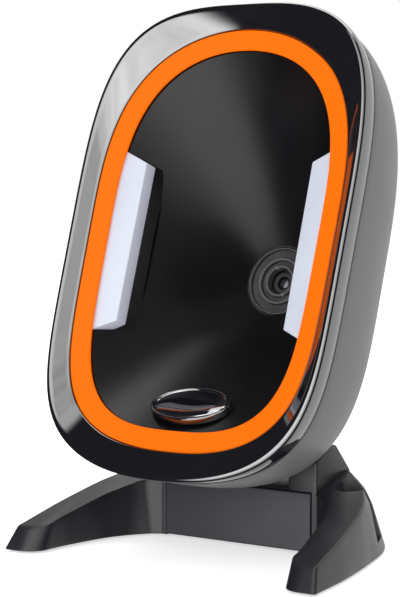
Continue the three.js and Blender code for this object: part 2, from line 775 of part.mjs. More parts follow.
function frictionWasher(side) {
  const middle = (side * (NECK_HALF + YOKE_HALF)) / 2;
  const half = (YOKE_HALF - NECK_HALF) / 2 - GAP;
  const disc = rod(WASHER_RADIUS, "x", middle - half, middle + half, PIVOT.y, PIVOT.z, 28);
  return disc.subtract(rod(PIN_RADIUS + GAP, "x", middle - 2, middle + 2, PIVOT.y, PIVOT.z, 24));
}

function foot([x, y, radius]) {
  return rod(radius, "z", -FOOT_PROUD, FOOT_DEEP, x, y, 24);
}

// ---------- materials ----------
function material(color, roughness, metalness = 0, more = {}) {
  return new THREE.MeshStandardMaterial({ color, roughness, metalness, ...more });
}

const glossBlack = () => material(0x07070b, 0.08);
const satinGrey = () => material(0x4a4a4e, 0.45);
const satinBlack = () => material(0x17171b, 0.5);
const mattBlack = () => material(0x0d0d10, 0.7);
const steel = () => material(0xb4b6ba, 0.35, 1);
const board = () => material(0x14502c, 0.55);
const rubber = () => material(0x1a1a1a, 0.9);

function piece(name, manifold, look) {
  const mesh = new THREE.Mesh(geometryOf(manifold), look);
  mesh.name = name;
  return mesh;
}

// ---------- assembly ----------
const head = new THREE.Group();
head.position.set(0, 0, HEAD_HEIGHT);
head.rotation.x = -HEAD_LEAN;
head.add(
  piece("front_bezel", frontBezel(), glossBlack()),
  piece("status_ring", statusRing(), material(0xff7a05, 0.45)),
  piece("scan_funnel", scanFunnel(), satinBlack()),
  piece("badge_plate", badgeOval(0, -0.3, 1.7, true), glossBlack()),
  piece("camera_bezel", cameraBezel(), satinBlack()),
  piece("lens_barrel", lensBarrel(), mattBlack()),
  piece("front_lens", frontLens(), material(0x10141c, 0.05)),
  piece("sensor_board", sensorBoard(), board()),
  piece("main_board", mainBoard(), board()),
  piece("beeper", beeper(), mattBlack()),
  piece("rear_shell", rearShell(), satinGrey()),
  piece("data_socket", dataSocket(), mattBlack()),
);
for (const [name, side] of [["left", -1], ["right", 1]]) {
  head.add(
    piece(name + "_diffuser", diffuser(side), material(0xe9e9f4, 0.4)),
    piece(name + "_led_board", ledBoard(side), board()),
  );
}
SCREW_PLACES.forEach((place, i) => head.add(piece("head_screw_" + (i + 1), headScrew(place), steel())));

const stand = new THREE.Group();
stand.add(
  piece("stand_base", standBase(), satinGrey()),
  piece("front_panel", frontPanel(), material(0x3c3d46, 0.55)),
  piece("base_plate", basePlate(), mattBlack()),
  piece("ballast_weight", ballast(), material(0x707278, 0.6, 1)),
  piece("tilt_pin", tiltPin(), steel()),
  piece("pin_cap", pinCap(), satinBlack()),
  piece("left_friction_washer", frictionWasher(-1), material(0xd8d4c8, 0.6)),
  piece("right_friction_washer", frictionWasher(1), material(0xd8d4c8, 0.6)),
);
BASE_SCREWS.forEach((place, i) => stand.add(piece("base_screw_" + (i + 1), baseScrew(place), steel())));
FEET.forEach((place, i) => stand.add(piece("rubber_foot_" + (i + 1), foot(place), rubber())));

const scanner = new THREE.Group();
scanner.position.set(0, FOOTPRINT_SHIFT, FOOT_PROUD);
scanner.add(head, stand);

export default scanner;
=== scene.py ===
"""Looks of the hands-free desktop barcode scanner: an oval scan head on a horseshoe stand."""
import json
import math

import bmesh
import bpy
import numpy as np
from mathutils import Matrix, Vector


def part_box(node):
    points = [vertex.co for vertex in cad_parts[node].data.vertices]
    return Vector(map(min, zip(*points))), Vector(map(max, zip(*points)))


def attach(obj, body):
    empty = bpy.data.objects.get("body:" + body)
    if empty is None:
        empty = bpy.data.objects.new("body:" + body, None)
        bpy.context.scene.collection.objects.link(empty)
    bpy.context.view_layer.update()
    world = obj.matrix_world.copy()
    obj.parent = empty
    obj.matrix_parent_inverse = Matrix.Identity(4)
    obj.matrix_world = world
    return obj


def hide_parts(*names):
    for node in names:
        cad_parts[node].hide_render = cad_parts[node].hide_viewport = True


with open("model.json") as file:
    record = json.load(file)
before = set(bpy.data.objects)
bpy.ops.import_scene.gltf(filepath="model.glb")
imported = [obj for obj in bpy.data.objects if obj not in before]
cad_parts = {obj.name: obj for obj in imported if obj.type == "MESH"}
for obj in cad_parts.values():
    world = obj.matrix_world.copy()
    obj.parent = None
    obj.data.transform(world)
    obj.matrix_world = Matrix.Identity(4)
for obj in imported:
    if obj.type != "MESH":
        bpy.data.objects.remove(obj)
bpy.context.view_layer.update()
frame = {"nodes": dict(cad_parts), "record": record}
nodes = frame["nodes"]
scene = bpy.context.scene

# ---------- the two local frames, in millimetres ----------
# Head frame: x across, y into the head from the light ring's front edge, z up the face.
# Stand frame: x across, y back, z up from the underside; the tilt pin is at PIVOT.
MM = 0.001
LEAN = math.radians(18.6)
RING_THICK = 1.9
PIVOT = (25.0, 19.5)
INWARD = Vector((0, math.cos(LEAN), -math.sin(LEAN)))
ring_low, ring_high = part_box("status_ring")
pin_low, pin_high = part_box("tilt_pin")
head_origin = (ring_low + ring_high) / 2 - INWARD * (RING_THICK / 2 * MM)
pin_middle = (pin_low + pin_high) / 2
stand_origin = Vector((0, pin_middle.y - PIVOT[0] * MM, pin_middle.z - PIVOT[1] * MM))
HEAD = Matrix.Translation(head_origin) @ Matrix.Rotation(-LEAN, 4, "X") @ Matrix.Scale(MM, 4)
STAND = Matrix.Translation(stand_origin) @ Matrix.Scale(MM, 4)

# ---------- camera ----------
camera_data = bpy.data.cameras.new("camera")
camera_data.lens = 109.19
camera_data.sensor_width = 36
camera_data.clip_start = 0.02
camera_data.clip_end = 50
camera = bpy.data.objects.new("camera", camera_data)
scene.collection.objects.link(camera)
AZIMUTH = math.radians(33.97)
PITCH = math.radians(3.86)
DISTANCE = 0.4828
TARGET = stand_origin + Vector((-1.24, -0.84, 68.85)) * MM
ground = math.cos(PITCH)
forward = Vector((-math.sin(AZIMUTH) * ground, math.cos(AZIMUTH) * ground, -math.sin(PITCH)))
camera.location = TARGET - forward * DISTANCE
camera.rotation_euler = forward.to_track_quat("-Z", "Y").to_euler()
scene.camera = camera

# ---------- mesh helpers ----------
COUNT = 192  # points round each oval


def make(name, bm, matrix, sharp=32):
    """A new object from a bmesh in one of the local frames, with its flat faces kept crisp."""
    bmesh.ops.remove_doubles(bm, verts=bm.verts, dist=1e-4)
    bmesh.ops.recalc_face_normals(bm, faces=bm.faces)
    mesh = bpy.data.meshes.new(name)
    bm.to_mesh(mesh)
    bm.free()
    mesh.transform(matrix)
    piece = bpy.data.objects.new(name, mesh)
    scene.collection.objects.link(piece)
    crisp(piece, sharp)
    return piece


def crisp(piece, sharp=32):
    mesh = piece.data
    mesh.polygons.foreach_set("use_smooth", [True] * len(mesh.polygons))
    mesh.set_sharp_from_angle(angle=math.radians(sharp))
    mesh.update()


def baked(piece):
    """Applies a piece's modifiers to its mesh."""
    view = bpy.context.evaluated_depsgraph_get()
    mesh = bpy.data.meshes.new_from_object(piece.evaluated_get(view))
    old = piece.data
    piece.modifiers.clear()
    piece.data = mesh
    bpy.data.meshes.remove(old)
    mesh.name = piece.name
    return piece


def combine(piece, tool, how):
    """UNION with, or DIFFERENCE by, a closed tool piece, which is used up."""
    cut = piece.modifiers.new("cut", "BOOLEAN")
    cut.object = tool
    cut.operation = how
    cut.solver = "EXACT"
    baked(piece)
    bpy.data.objects.remove(tool)
    return piece


def bevelled(piece, width, segments=3, angle=30):
    bevel = piece.modifiers.new("bevel", "BEVEL")
    bevel.width = width * MM
    bevel.segments = segments
    bevel.limit_method = "ANGLE"
    bevel.angle_limit = math.radians(angle)
    bevel.harden_normals = False
    return baked(piece)


def tidied(piece, angle=1.0):
    """Merges doubled points and flat neighbours, which a cut leaves behind."""
    bm = bmesh.new()
    bm.from_mesh(piece.data)
    bmesh.ops.remove_doubles(bm, verts=bm.verts, dist=2e-6)
    bmesh.ops.dissolve_limit(bm, angle_limit=math.radians(angle), verts=bm.verts, edges=bm.edges)
    bm.to_mesh(piece.data)
    bm.free()
    return piece


def skin(rings, loop=False):
    """A bmesh through rings of equal length, either closed on itself or capped at both ends."""
    bm = bmesh.new()
    rows = [[bm.verts.new(point) for point in ring] for ring in rings]
    count = len(rows[0])
    pairs = list(zip(rows, rows[1:])) + ([(rows[-1], rows[0])] if loop else [])
    for here, there in pairs:
        for i in range(count):
            j = (i + 1) % count
            bm.faces.new((here[i], here[j], there[j], there[i]))
    if not loop:
        bm.faces.new(rows[0][::-1])
        bm.faces.new(rows[-1])
    return bm


def block(x0, x1, y0, y1, z0, z1, round_by=0.0, segments=3):
    bm = bmesh.new()
    size = Matrix.Diagonal((x1 - x0, y1 - y0, z1 - z0, 1))
    place = Matrix.Translation(((x0 + x1) / 2, (y0 + y1) / 2, (z0 + z1) / 2))
    bmesh.ops.create_cube(bm, size=1, matrix=place @ size)
    if round_by:
        bmesh.ops.bevel(bm, geom=bm.edges[:], offset=round_by, segments=segments, profile=0.5, affect="EDGES")
    return bm


def lathe(profile, centre, axis, count=96, loop=True):
    """Turned from a profile of (radius, distance along the axis "x", "y" or "z") round a centre (a, b)."""
    a, b = centre
    rings = []
    for radius, along in profile:
        ring = []
        for i in range(count):
            angle = 2 * math.pi * i / count
            p, q = a + radius * math.cos(angle), b + radius * math.sin(angle)
            ring.append({"x": (along, p, q), "y": (p, along, q), "z": (p, q, along)}[axis])
        rings.append(ring)
    return skin(rings, loop)


def prism(outline, x0, x1, round_by=0.0, segments=4):
    """An outline of (y, z) drawn along X, with rounded rims."""
    outline = [Vector(point) for point in outline]
    angles = [math.pi / 2 * k / segments for k in range(segments + 1)]
    rim = [(round_by * (1 - math.sin(a)), round_by * (1 - math.cos(a))) for a in angles]
    rows = [(inset, x0 + along) for inset, along in rim]
    rows += [(inset, x1 - along) for inset, along in reversed(rim)]
    return skin([[(x, y, z) for y, z in inset_outline(outline, inset)] for inset, x in rows])


def inset_outline(outline, by):
    """A closed 2-D outline, going anticlockwise, drawn inwards."""
    count = len(outline)
    drawn = []
    for i, point in enumerate(outline):
        before = (point - outline[i - 1]).normalized()
        after = (outline[(i + 1) % count] - point).normalized()
        along = before + after
        if along.length < 1e-6:
            along = after
        along.normalize()
        normal = Vector((-along.y, along.x))
        stretch = max(0.5, normal.dot(Vector((-after.y, after.x))))
        drawn.append(point + normal * (by / stretch))
    return drawn


# ---------- ovals of the head ----------
BEZEL_OVAL = dict(half=44.0, up=65.2, down=66.8, top=(3.2, 3.9), bottom=(2.3, 5.3), egg=0.019, drop=0)
SEAM_OVAL = dict(half=43.1, up=64.3, down=65.6, top=(3.4, 3.8), bottom=(2.6, 5.0), egg=0.022, drop=0)
RING_OVAL = dict(half=38.8, up=58.4, down=58.4, top=(2.0, 3.4), bottom=(2.5, 5.0), egg=0.027, drop=0)
INNER_OVAL = dict(half=33.6, up=53.2, down=52.9, top=(2.1, 3.4), bottom=(2.9, 4.7), egg=0.026, drop=0)
SEAM_DEPTH = 4.8
SHELL_DEPTH = 52
GAP = 0.3


def grown(oval, by):
    return dict(oval, half=oval["half"] + by, up=oval["up"] + by, down=oval["down"] + by)


def scaled(oval, factor):
    return dict(oval, half=oval["half"] * factor, up=oval["up"] * factor, down=oval["down"] * factor)


def blended(a, b, s):
    mix = {}
    for key, first in a.items():
        second = b[key]
        if isinstance(first, tuple):
            mix[key] = tuple(p + (q - p) * s for p, q in zip(first, second))
        else:
            mix[key] = first + (second - first) * s
    return mix


def ring(oval, depth, count=COUNT):
    """An oval's outline at a depth, with its points spread evenly by direction."""
    t = np.linspace(0, 2 * np.pi, 4001)[:-1]
    c, s = np.cos(t), np.sin(t)
    across = np.where(s > 0, oval["top"][0], oval["bottom"][0])
    along = np.where(s > 0, oval["top"][1], oval["bottom"][1])
    reach = np.where(s > 0, oval["up"], oval["down"])
    v = reach * np.sign(s) * np.abs(s) ** (2 / along)
    u = oval["half"] * np.sign(c) * np.abs(c) ** (2 / across) * (1 + oval["egg"] * v / 65)
    angle = np.arctan2(v * 0.67, u)
    wanted = np.linspace(0, 2 * np.pi, count, endpoint=False) + np.pi / count
    x = np.interp(wanted, angle, u, period=2 * np.pi)
    z = np.interp(wanted, angle, v, period=2 * np.pi)
    return [(float(a), depth, float(b) + oval["drop"]) for a, b in zip(x, z)]


def oval_loop(stations):
    return skin([ring(oval, depth) for oval, depth in stations], loop=True)


def oval_solid(stations):
    return skin([ring(oval, depth) for oval, depth in stations])


# ---------- materials ----------
def surface(name, dark, light, rough, patch=12.0, grain=0.3, bump=0.0, edge_highlight=0.0, **sockets):
    """A moulded finish: colour drifts between two tones in soft patches, roughness drifts with it,
    and a fine grain of the given size in millimetres lifts the surface. A painted highlight lightens the
    edges."""
    look = bpy.data.materials.new(name)
    look.use_nodes = True
    tree = look.node_tree
    shader = tree.nodes["Principled BSDF"]
    new = tree.nodes.new
    link = tree.links.new
    place = new("ShaderNodeTexCoord")
    drift = new("ShaderNodeTexNoise")
    drift.inputs["Scale"].default_value = 1000 / patch
    drift.inputs["Detail"].default_value = 5
    link(place.outputs["Object"], drift.inputs["Vector"])
    tone = new("ShaderNodeMix")
    tone.data_type = "RGBA"
    tone.inputs["A"].default_value = (*dark, 1)
    tone.inputs["B"].default_value = (*light, 1)
    link(drift.outputs["Fac"], tone.inputs["Factor"])
    colour = tone.outputs["Result"]
    # Painted highlight: where Pointiness marks a ridge, the colour is mixed toward 2.4 times the light tone.
    if edge_highlight:
        edges = new("ShaderNodeNewGeometry")
        ridge = new("ShaderNodeMapRange")
        ridge.inputs["From Min"].default_value = 0.52
        ridge.inputs["From Max"].default_value = 0.62
        ridge.inputs["To Max"].default_value = edge_highlight
        link(edges.outputs["Pointiness"], ridge.inputs["Value"])
        painted_highlight = new("ShaderNodeMix")
        painted_highlight.data_type = "RGBA"
        painted_highlight.inputs["B"].default_value = (*[min(1, 2.4 * c + 0.02) for c in light], 1)
        link(ridge.outputs["Result"], painted_highlight.inputs["Factor"])
        link(colour, painted_highlight.inputs["A"])
        colour = painted_highlight.outputs["Result"]
    link(colour, shader.inputs["Base Color"])
    polish = new("ShaderNodeMapRange")
    polish.inputs["From Min"].default_value = 0.3
    polish.inputs["From Max"].default_value = 0.7
    polish.inputs["To Min"].default_value = rough[0]
    polish.inputs["To Max"].default_value = rough[1]
    link(drift.outputs["Fac"], polish.inputs["Value"])
    link(polish.outputs["Result"], shader.inputs["Roughness"])
    if bump:
        fine = new("ShaderNodeTexNoise")
        fine.inputs["Scale"].default_value = 1000 / grain
        fine.inputs["Detail"].default_value = 3
        link(place.outputs["Object"], fine.inputs["Vector"])
        lift = new("ShaderNodeBump")
        lift.inputs["Strength"].default_value = bump
        lift.inputs["Distance"].default_value = 0.00006
        link(fine.outputs["Fac"], lift.inputs["Height"])
        link(lift.outputs["Normal"], shader.inputs["Normal"])
    for socket, value in sockets.items():
        shader.inputs[socket.replace("_", " ")].default_value = value
    return look


# The shell, stand and camera-ring looks carry a painted highlight on their ridges (the edge amount after
# bump).
LOOKS = {
    "bezel_gloss_black": surface("bezel_gloss_black", (0.003, 0.003, 0.005), (0.006, 0.006, 0.009),
                                 (0.03, 0.07), patch=30, grain=6, bump=0.02, Specular_IOR_Level=0.8, IOR=2.0),
    "ring_orange": surface("ring_orange", (0.4, 0.045, 0.0002), (0.44, 0.05, 0.0003), (0.55, 0.65),
                           patch=15, grain=0.4, bump=0.1, Emission_Color=(1, 0.19, 0.0002, 1),
                           Emission_Strength=0.62, Specular_IOR_Level=0.1),
    "funnel_satin_black": surface("funnel_satin_black", (0.002, 0.002, 0.003), (0.004, 0.004, 0.005),
                                  (0.3, 0.36), patch=14, grain=0.35, bump=0.25, Specular_IOR_Level=0.33),
    "shell_satin_grey": surface("shell_satin_grey", (0.105, 0.105, 0.11), (0.13, 0.13, 0.135),
                                (0.36, 0.44), patch=18, grain=0.28, bump=0.3, edge_highlight=0.15),
    "stand_matt_grey": surface("stand_matt_grey", (0.009, 0.009, 0.012), (0.014, 0.014, 0.018),
                               (0.34, 0.42), patch=9, grain=0.35, bump=0.5, edge_highlight=0.25),
    "panel_slate": surface("panel_slate", (0.018, 0.018, 0.024), (0.025, 0.025, 0.032),
                           (0.5, 0.6), patch=9, grain=0.4, bump=0.5),
    "diffuser_white": surface("diffuser_white", (0.36, 0.37, 0.42), (0.42, 0.43, 0.48), (0.3, 0.4),
                              patch=10, grain=0.5, bump=0.15, Emission_Color=(0.82, 0.82, 1, 1),
                              Emission_Strength=0.2, Subsurface_Weight=0.15),
    "lens_glass": surface("lens_glass", (0.01, 0.011, 0.016), (0.02, 0.018, 0.03), (0.03, 0.06),
                          patch=4, Coat_Weight=0.6),
    "circuit_board": surface("circuit_board", (0.006, 0.03, 0.014), (0.012, 0.05, 0.022), (0.35, 0.5),
                             patch=3, grain=0.6, bump=0.5),
    "screw_steel": surface("screw_steel", (0.42, 0.43, 0.45), (0.56, 0.57, 0.6), (0.28, 0.42),
                           patch=2, grain=0.2, bump=0.4, Metallic=1.0),
    "ballast_steel": surface("ballast_steel", (0.2, 0.2, 0.21), (0.32, 0.31, 0.3), (0.5, 0.7),
                             patch=5, grain=0.5, bump=0.8, Metallic=1.0),
    "washer_nylon": surface("washer_nylon", (0.6, 0.58, 0.5), (0.7, 0.68, 0.6), (0.45, 0.55),
                            patch=3, grain=0.3, bump=0.2),
    "inner_black": surface("inner_black", (0.006, 0.006, 0.007), (0.012, 0.012, 0.013), (0.55, 0.7),
                           patch=6, grain=0.4, bump=0.4),
    "foot_rubber": surface("foot_rubber", (0.012, 0.012, 0.012), (0.02, 0.02, 0.02), (0.8, 0.9),
                           patch=3, grain=0.25, bump=0.8),
    # The camera rings' ridges get the painted highlight at full strength.
    "camera_satin": surface("camera_satin", (0.02, 0.02, 0.022), (0.05, 0.05, 0.053), (0.22, 0.28),
                            patch=5, grain=0.3, bump=0.15, edge_highlight=1.0),
    "contact_gold": surface("contact_gold", (0.75, 0.5, 0.18), (0.85, 0.62, 0.25), (0.2, 0.3),
                            patch=1, grain=0.2, bump=0.1, Metallic=1.0),
    "badge_chrome": surface("badge_chrome", (0.6, 0.6, 0.63), (0.72, 0.72, 0.75), (0.1, 0.2),
                            patch=2, grain=0.3, bump=0.1, Metallic=1.0),
}


def finish_piece(piece, body, slot, look=None, replaced=()):
    piece.data.materials.clear()
    piece.data.materials.append(LOOKS[look or slot])
    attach(piece, body)
    if replaced:
        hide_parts(*replaced)
    return piece


# ---------- head: bezel and ring ----------
def bezel_stations():
    stations = [
        (grown(RING_OVAL, 0.3), 1.9),
        (grown(RING_OVAL, 0.3), 0.2),
        (grown(RING_OVAL, 0.35), 0.02),
        (grown(RING_OVAL, 0.5), -0.1),
    ]
    inner, outer = grown(RING_OVAL, 0.8), grown(BEZEL_OVAL, -1.7)
    for k in range(9):
        s = k / 8
        stations.append((blended(inner, outer, s), -0.24 - 2.5 * s))
    stations += [
        (grown(BEZEL_OVAL, -1.3), -2.88),
        (grown(BEZEL_OVAL, -0.95), -2.93),
        (grown(BEZEL_OVAL, -0.6), -2.88),
        (grown(BEZEL_OVAL, -0.3), -2.7),
        (grown(BEZEL_OVAL, -0.1), -2.4),
        (BEZEL_OVAL, -2.0),
    ]
    for k in range(1, 8):
        s = k / 8
        bulge = 0.25 * math.sin(math.pi * s)
        stations.append((grown(blended(BEZEL_OVAL, SEAM_OVAL, s), bulge), -2.0 + 6.3 * s))
    stations += [
        (SEAM_OVAL, SEAM_DEPTH - 0.45),
        (grown(SEAM_OVAL, -0.08), SEAM_DEPTH - 0.25),
        (grown(SEAM_OVAL, -0.3), SEAM_DEPTH - 0.15),
        (grown(SEAM_OVAL, -1.8), SEAM_DEPTH - 0.15),
        (grown(SEAM_OVAL, -1.8), 1.4),
        (grown(RING_OVAL, 1), 3.4),
        (grown(INNER_OVAL, 1.7), 3.4),
        (grown(INNER_OVAL, 1.7), RING_THICK + GAP),
        (grown(RING_OVAL, 0.3), RING_THICK + GAP),
    ]
    return stations


bezel = make("bezel_moulding", oval_loop(bezel_stations()), HEAD, sharp=38)
finish_piece(bezel, "head", "bezel_gloss_black", replaced=["front_bezel"])

ring_stations = [
    (RING_OVAL, RING_THICK),
    (RING_OVAL, 0.3),
    (grown(RING_OVAL, -0.08), 0.08),
    (grown(RING_OVAL, -0.3), 0.0),
]
for k in range(1, 6):
    ring_stations.append((blended(grown(RING_OVAL, -0.3), grown(INNER_OVAL, 0.3), k / 5), 1.1 * k / 5))
ring_stations += [(grown(INNER_OVAL, 0.08), 1.2), (INNER_OVAL, 1.38), (INNER_OVAL, RING_THICK)]
light_ring = make("light_ring", oval_loop(ring_stations), HEAD)
finish_piece(light_ring, "head", "ring_orange", replaced=["status_ring"])

# ---------- head: funnel ----------
FUNNEL_FRONT = 2.75
FUNNEL_BACK = 39.8
FUNNEL_WALL = 2
FLANGE_FRONT = 3.75
FLANGE_BACK = 5
CAMERA_HOLE = 10.4
CAMERA_DROP = -1.2
BAR_INNER, BAR_OUTER = 26.65, 35.8  # the light bars' windows
BAR_TOP, BAR_BOTTOM, BAR_FLARE = 21.7, -23.7, 4.1
FUNNEL_MOUTH = grown(INNER_OVAL, -0.1)
FUNNEL_THROAT = dict(half=CAMERA_HOLE, up=CAMERA_HOLE, down=CAMERA_HOLE, top=(2, 2), bottom=(2, 2),
                     egg=0, drop=CAMERA_DROP)


def funnel_at(depth, wall):
    s = (depth - FUNNEL_FRONT) / (FUNNEL_BACK - FUNNEL_FRONT)
    return grown(blended(FUNNEL_MOUTH, FUNNEL_THROAT, s), wall)


def wedge(side, spread, front, back):
    """The outline of one light bar's window, drawn into the head."""
    inner = BAR_INNER - spread
    outline = [
        (inner, BAR_BOTTOM - spread),
        (BAR_OUTER, BAR_BOTTOM - BAR_FLARE - spread),
        (BAR_OUTER, BAR_TOP + BAR_FLARE + spread),
        (inner, BAR_TOP + spread),
    ]
    rings = [[(side * u, depth, v) for u, v in outline] for depth in (front, back)]
    return skin(rings)


funnel_depths = [FUNNEL_FRONT + (FUNNEL_BACK - FUNNEL_FRONT) * k / 24 for k in range(25)]
funnel_stations = [(funnel_at(depth, 0), depth) for depth in reversed(funnel_depths)]
funnel_stations += [
    (grown(FUNNEL_MOUTH, 1.2), FUNNEL_FRONT),
    (grown(FUNNEL_MOUTH, 1.2), FLANGE_FRONT),
    (grown(RING_OVAL, 1.6), FLANGE_FRONT),
    (grown(RING_OVAL, 1.6), FLANGE_BACK),
    (funnel_at(FLANGE_BACK, FUNNEL_WALL), FLANGE_BACK),
]
funnel_stations += [(funnel_at(depth, FUNNEL_WALL), depth) for depth in funnel_depths[3:]]
funnel = make("light_cone", oval_loop(funnel_stations), HEAD)
for side in (-1, 1):
    window = make("window", wedge(side, GAP, 1, 15), HEAD)
    combine(funnel, window, "DIFFERENCE")

# ---------- head: badge on the funnel's lower slope ----------
BADGE_TURN = math.atan2(FUNNEL_BACK - 1.15, INNER_OVAL["down"] - CAMERA_HOLE + CAMERA_DROP)
BADGE = HEAD @ Matrix.Translation((0, 8.3, -45)) @ Matrix.Rotation(-BADGE_TURN + math.pi / 2, 4, "X")
BADGE_HALF = (12.15, 7.5)
BADGE_RIM = 1.25  # width of the raised rim round the dome
DOME_FOOT = 1.02
DOME_RISE = 0.62


def badge_rings(rows, count=96):
    rings = []
    for inset, height in rows:
        rings.append([
            ((BADGE_HALF[0] - inset) * math.cos(2 * math.pi * i / count),
             (BADGE_HALF[1] - inset) * math.sin(2 * math.pi * i / count), height)
            for i in range(count)
        ])
    return rings


combine(funnel, make("badge_seat", skin(badge_rings([(-0.3, -0.6), (-0.3, 5)])), BADGE), "DIFFERENCE")
crisp(funnel)
finish_piece(funnel, "head", "funnel_satin_black", replaced=["scan_funnel"])

badge_rows = [(0, -0.3), (0, 1.0), (0.06, 1.25), (0.25, 1.42), (0.6, 1.48), (0.95, 1.4), (1.15, 1.2)]
badge_rows.append((BADGE_RIM, DOME_FOOT))
for k in range(1, 11):
    angle = math.pi / 2 * k / 10
    badge_rows.append((BADGE_RIM + 6.2 * (1 - math.cos(angle)), DOME_FOOT + DOME_RISE * math.sin(angle)))
badge = make("badge_dome", skin(badge_rings(badge_rows)), BADGE)
finish_piece(badge, "head", "bezel_gloss_black", replaced=["badge_plate"])


def badge_line(name, path, width=0.16):
    """A thin raised chrome line on the badge."""
    rings = []
    for i, point in enumerate(path):
        before = Vector(path[max(i - 1, 0)])
        after = Vector(path[min(i + 1, len(path) - 1)])
        along = (after - before).normalized()
        across = Vector((-along.y, along.x, 0)).normalized() * width
        lift = Vector((0, 0, width * 0.7))
        centre = Vector(point)
        rings.append([centre - across, centre + lift, centre + across, centre - lift])
    return make(name, skin(rings), BADGE)


def on_dome(x, y):
    """A point on the badge's domed face."""
    r = min(1.0, math.hypot(x / (BADGE_HALF[0] - BADGE_RIM), y / (BADGE_HALF[1] - BADGE_RIM)))
    return (x, y, DOME_FOOT + DOME_RISE * math.sqrt(max(0.0, 1 - r * r)))


rim_path = []
for i in range(97):
    angle = 2 * math.pi * i / 96
    rim_path.append(on_dome(10.6 * math.cos(angle), 5.95 * math.sin(angle)))
arc_path = []
for i in range(41):
    x = -10.2 + 20.4 * i / 40
    arc_path.append(on_dome(x, -1.4 - 1.9 * math.sqrt(max(0.0, 1 - (x / 10.9) ** 2))))
rim_line = badge_line("badge_rim_line", rim_path)
finish_piece(rim_line, "head", "screw_steel", look="badge_chrome")
arc_line = badge_line("badge_arc_line", arc_path)
finish_piece(arc_line, "head", "screw_steel", look="badge_chrome")


# ---------- head: light bars ----------
def softened(name, node, width, body, slot):
    """A CAD node's own shape with its edges rounded."""
    piece = bpy.data.objects.new(name, nodes[node].data.copy())
    scene.collection.objects.link(piece)
    tidied(piece, 2)
    bevelled(piece, width)
    crisp(piece, 40)
    return finish_piece(piece, body, slot, replaced=[node])


softened("left_light_bar", "left_diffuser", 0.25, "head", "diffuser_white")
softened("right_light_bar", "right_diffuser", 0.25, "head", "diffuser_white")

# ---------- head: camera ----------
front = FUNNEL_BACK + GAP


def ridge(inner, outer, low, high, soft=0.25):
    return [(inner, low), (inner + soft * 0.3, high + soft), (inner + soft, high), (outer - soft, high),
            (outer - soft * 0.3, high + soft), (outer, low)]


bezel_profile = [(3.7, front + 2), (3.7, front + 1.2)]
bezel_profile += [(3.8, front + 0.25), (4.0, front), (4.5, front), (4.7, front + 0.25), (4.8, front + 1.1)]
bezel_profile += ridge(5.9, 6.95, front + 1.1, front)
bezel_profile += ridge(9.25, 9.95, front + 1.1, front)
bezel_profile += [(10.2, front + 0.6), (12.2, front + 0.6), (12.2, front + 2)]
camera_rings = make("camera_rings", lathe(bezel_profile, (0, CAMERA_DROP), "y"), HEAD)
finish_piece(camera_rings, "head", "funnel_satin_black", look="camera_satin", replaced=["camera_bezel"])

barrel_profile = [(1.9, 42.6), (2.0, 42.5), (3.0, 42.5), (3.2, 42.7), (3.2, 43.6), (4.6, 43.6)]
barrel_profile += [(4.6, 44.5), (1.9, 44.5)]
barrel = make("lens_tube", lathe(barrel_profile, (0, CAMERA_DROP), "y"), HEAD)
finish_piece(barrel, "head", "inner_black", replaced=["lens_barrel"])
LENS_RADIUS = 1.6
LENS_EDGE = 43.3
lens_profile = [(0.02, 44.3), (LENS_RADIUS, 44.3), (LENS_RADIUS, LENS_EDGE)]
for k in range(1, 8):
    angle = math.pi / 2 * k / 8
    lens_profile.append((LENS_RADIUS * math.cos(angle), LENS_EDGE - 0.6 * math.sin(angle)))
lens_profile.append((0.02, 42.7))
lens = make("lens_front", lathe(lens_profile, (0, CAMERA_DROP), "y", loop=False), HEAD)
finish_piece(lens, "head", "lens_glass", replaced=["front_lens"])

# ---------- head: rear shell ----------
# The sides and the top shrink along one curve, the bottom along another: [share of the seam, depth].
SIDE_CURVE = [(1, SEAM_DEPTH + 0.15), (1, 29.2), (0.815, SHELL_DEPTH - 3.1), (0, SHELL_DEPTH)]
BOTTOM_CURVE = [(1, SEAM_DEPTH + 0.15), (0.992, 35.7), (0.848, 29), (0, SHELL_DEPTH)]
SIDE_ROUNDING = 0.545
BOTTOM_ROUNDING = 2.4
ROUND = dict(SEAM_OVAL, top=(2, 2), egg=0)
NECK_RADIUS = 6
NECK_HALF = 14.9
NECK_SHOULDER, NECK_BACK, NECK_TOP = 10, 1.5, 22
SHELL_WALL = 2
PIN_HOLE = 2.1
RECESS_HALF, RECESS_FRONT, RECESS_TOP = 26.8, 10.9, 10.8
SOCKET = dict(half=7.6, low=-31.6, high=-20.4, front=34.4, back=40.4, wall=1.2, floor=1.6)
SCREW_PLACES = ((-24, 50), (24, 50), (-22, -53), (22, -53))


def on_curve(curve, t):
    """A point of a cubic Bezier curve."""
    weights = ((1 - t) ** 3, 3 * t * (1 - t) ** 2, 3 * t * t * (1 - t), t ** 3)
    return tuple(sum(w * value for w, value in zip(weights, values)) for values in zip(*curve))


def bottom_share(depth):
    """How much of the seam oval's lower half is left at a depth."""
    low, high = 0.0, 1.0
    for _ in range(30):
        middle = (low + high) / 2
        if on_curve(BOTTOM_CURVE, middle)[1] < depth:
            low = middle
        else:
            high = middle
    return on_curve(BOTTOM_CURVE, low)[0]


def shell_stations(inset, start, stop, count):
    """The shell's sections between two places on the side curve, drawn in by an inset."""
    stations = []
    for i in range(count + 1):
        share, depth = on_curve(SIDE_CURVE, start + (stop - start) * i / count)
        low_share = bottom_share(depth)
        size = scaled(blended(SEAM_OVAL, ROUND, max(0, 1 - share) ** SIDE_ROUNDING), share)
        bottom_round = max(0, 1 - low_share) ** BOTTOM_ROUNDING
        size["down"] = SEAM_OVAL["down"] * low_share
        size["bottom"] = tuple(power + (2 - power) * bottom_round for power in SEAM_OVAL["bottom"])
        stations.append((grown(size, -min(inset, size["half"] - 1)), depth - inset * i / count))
    return stations


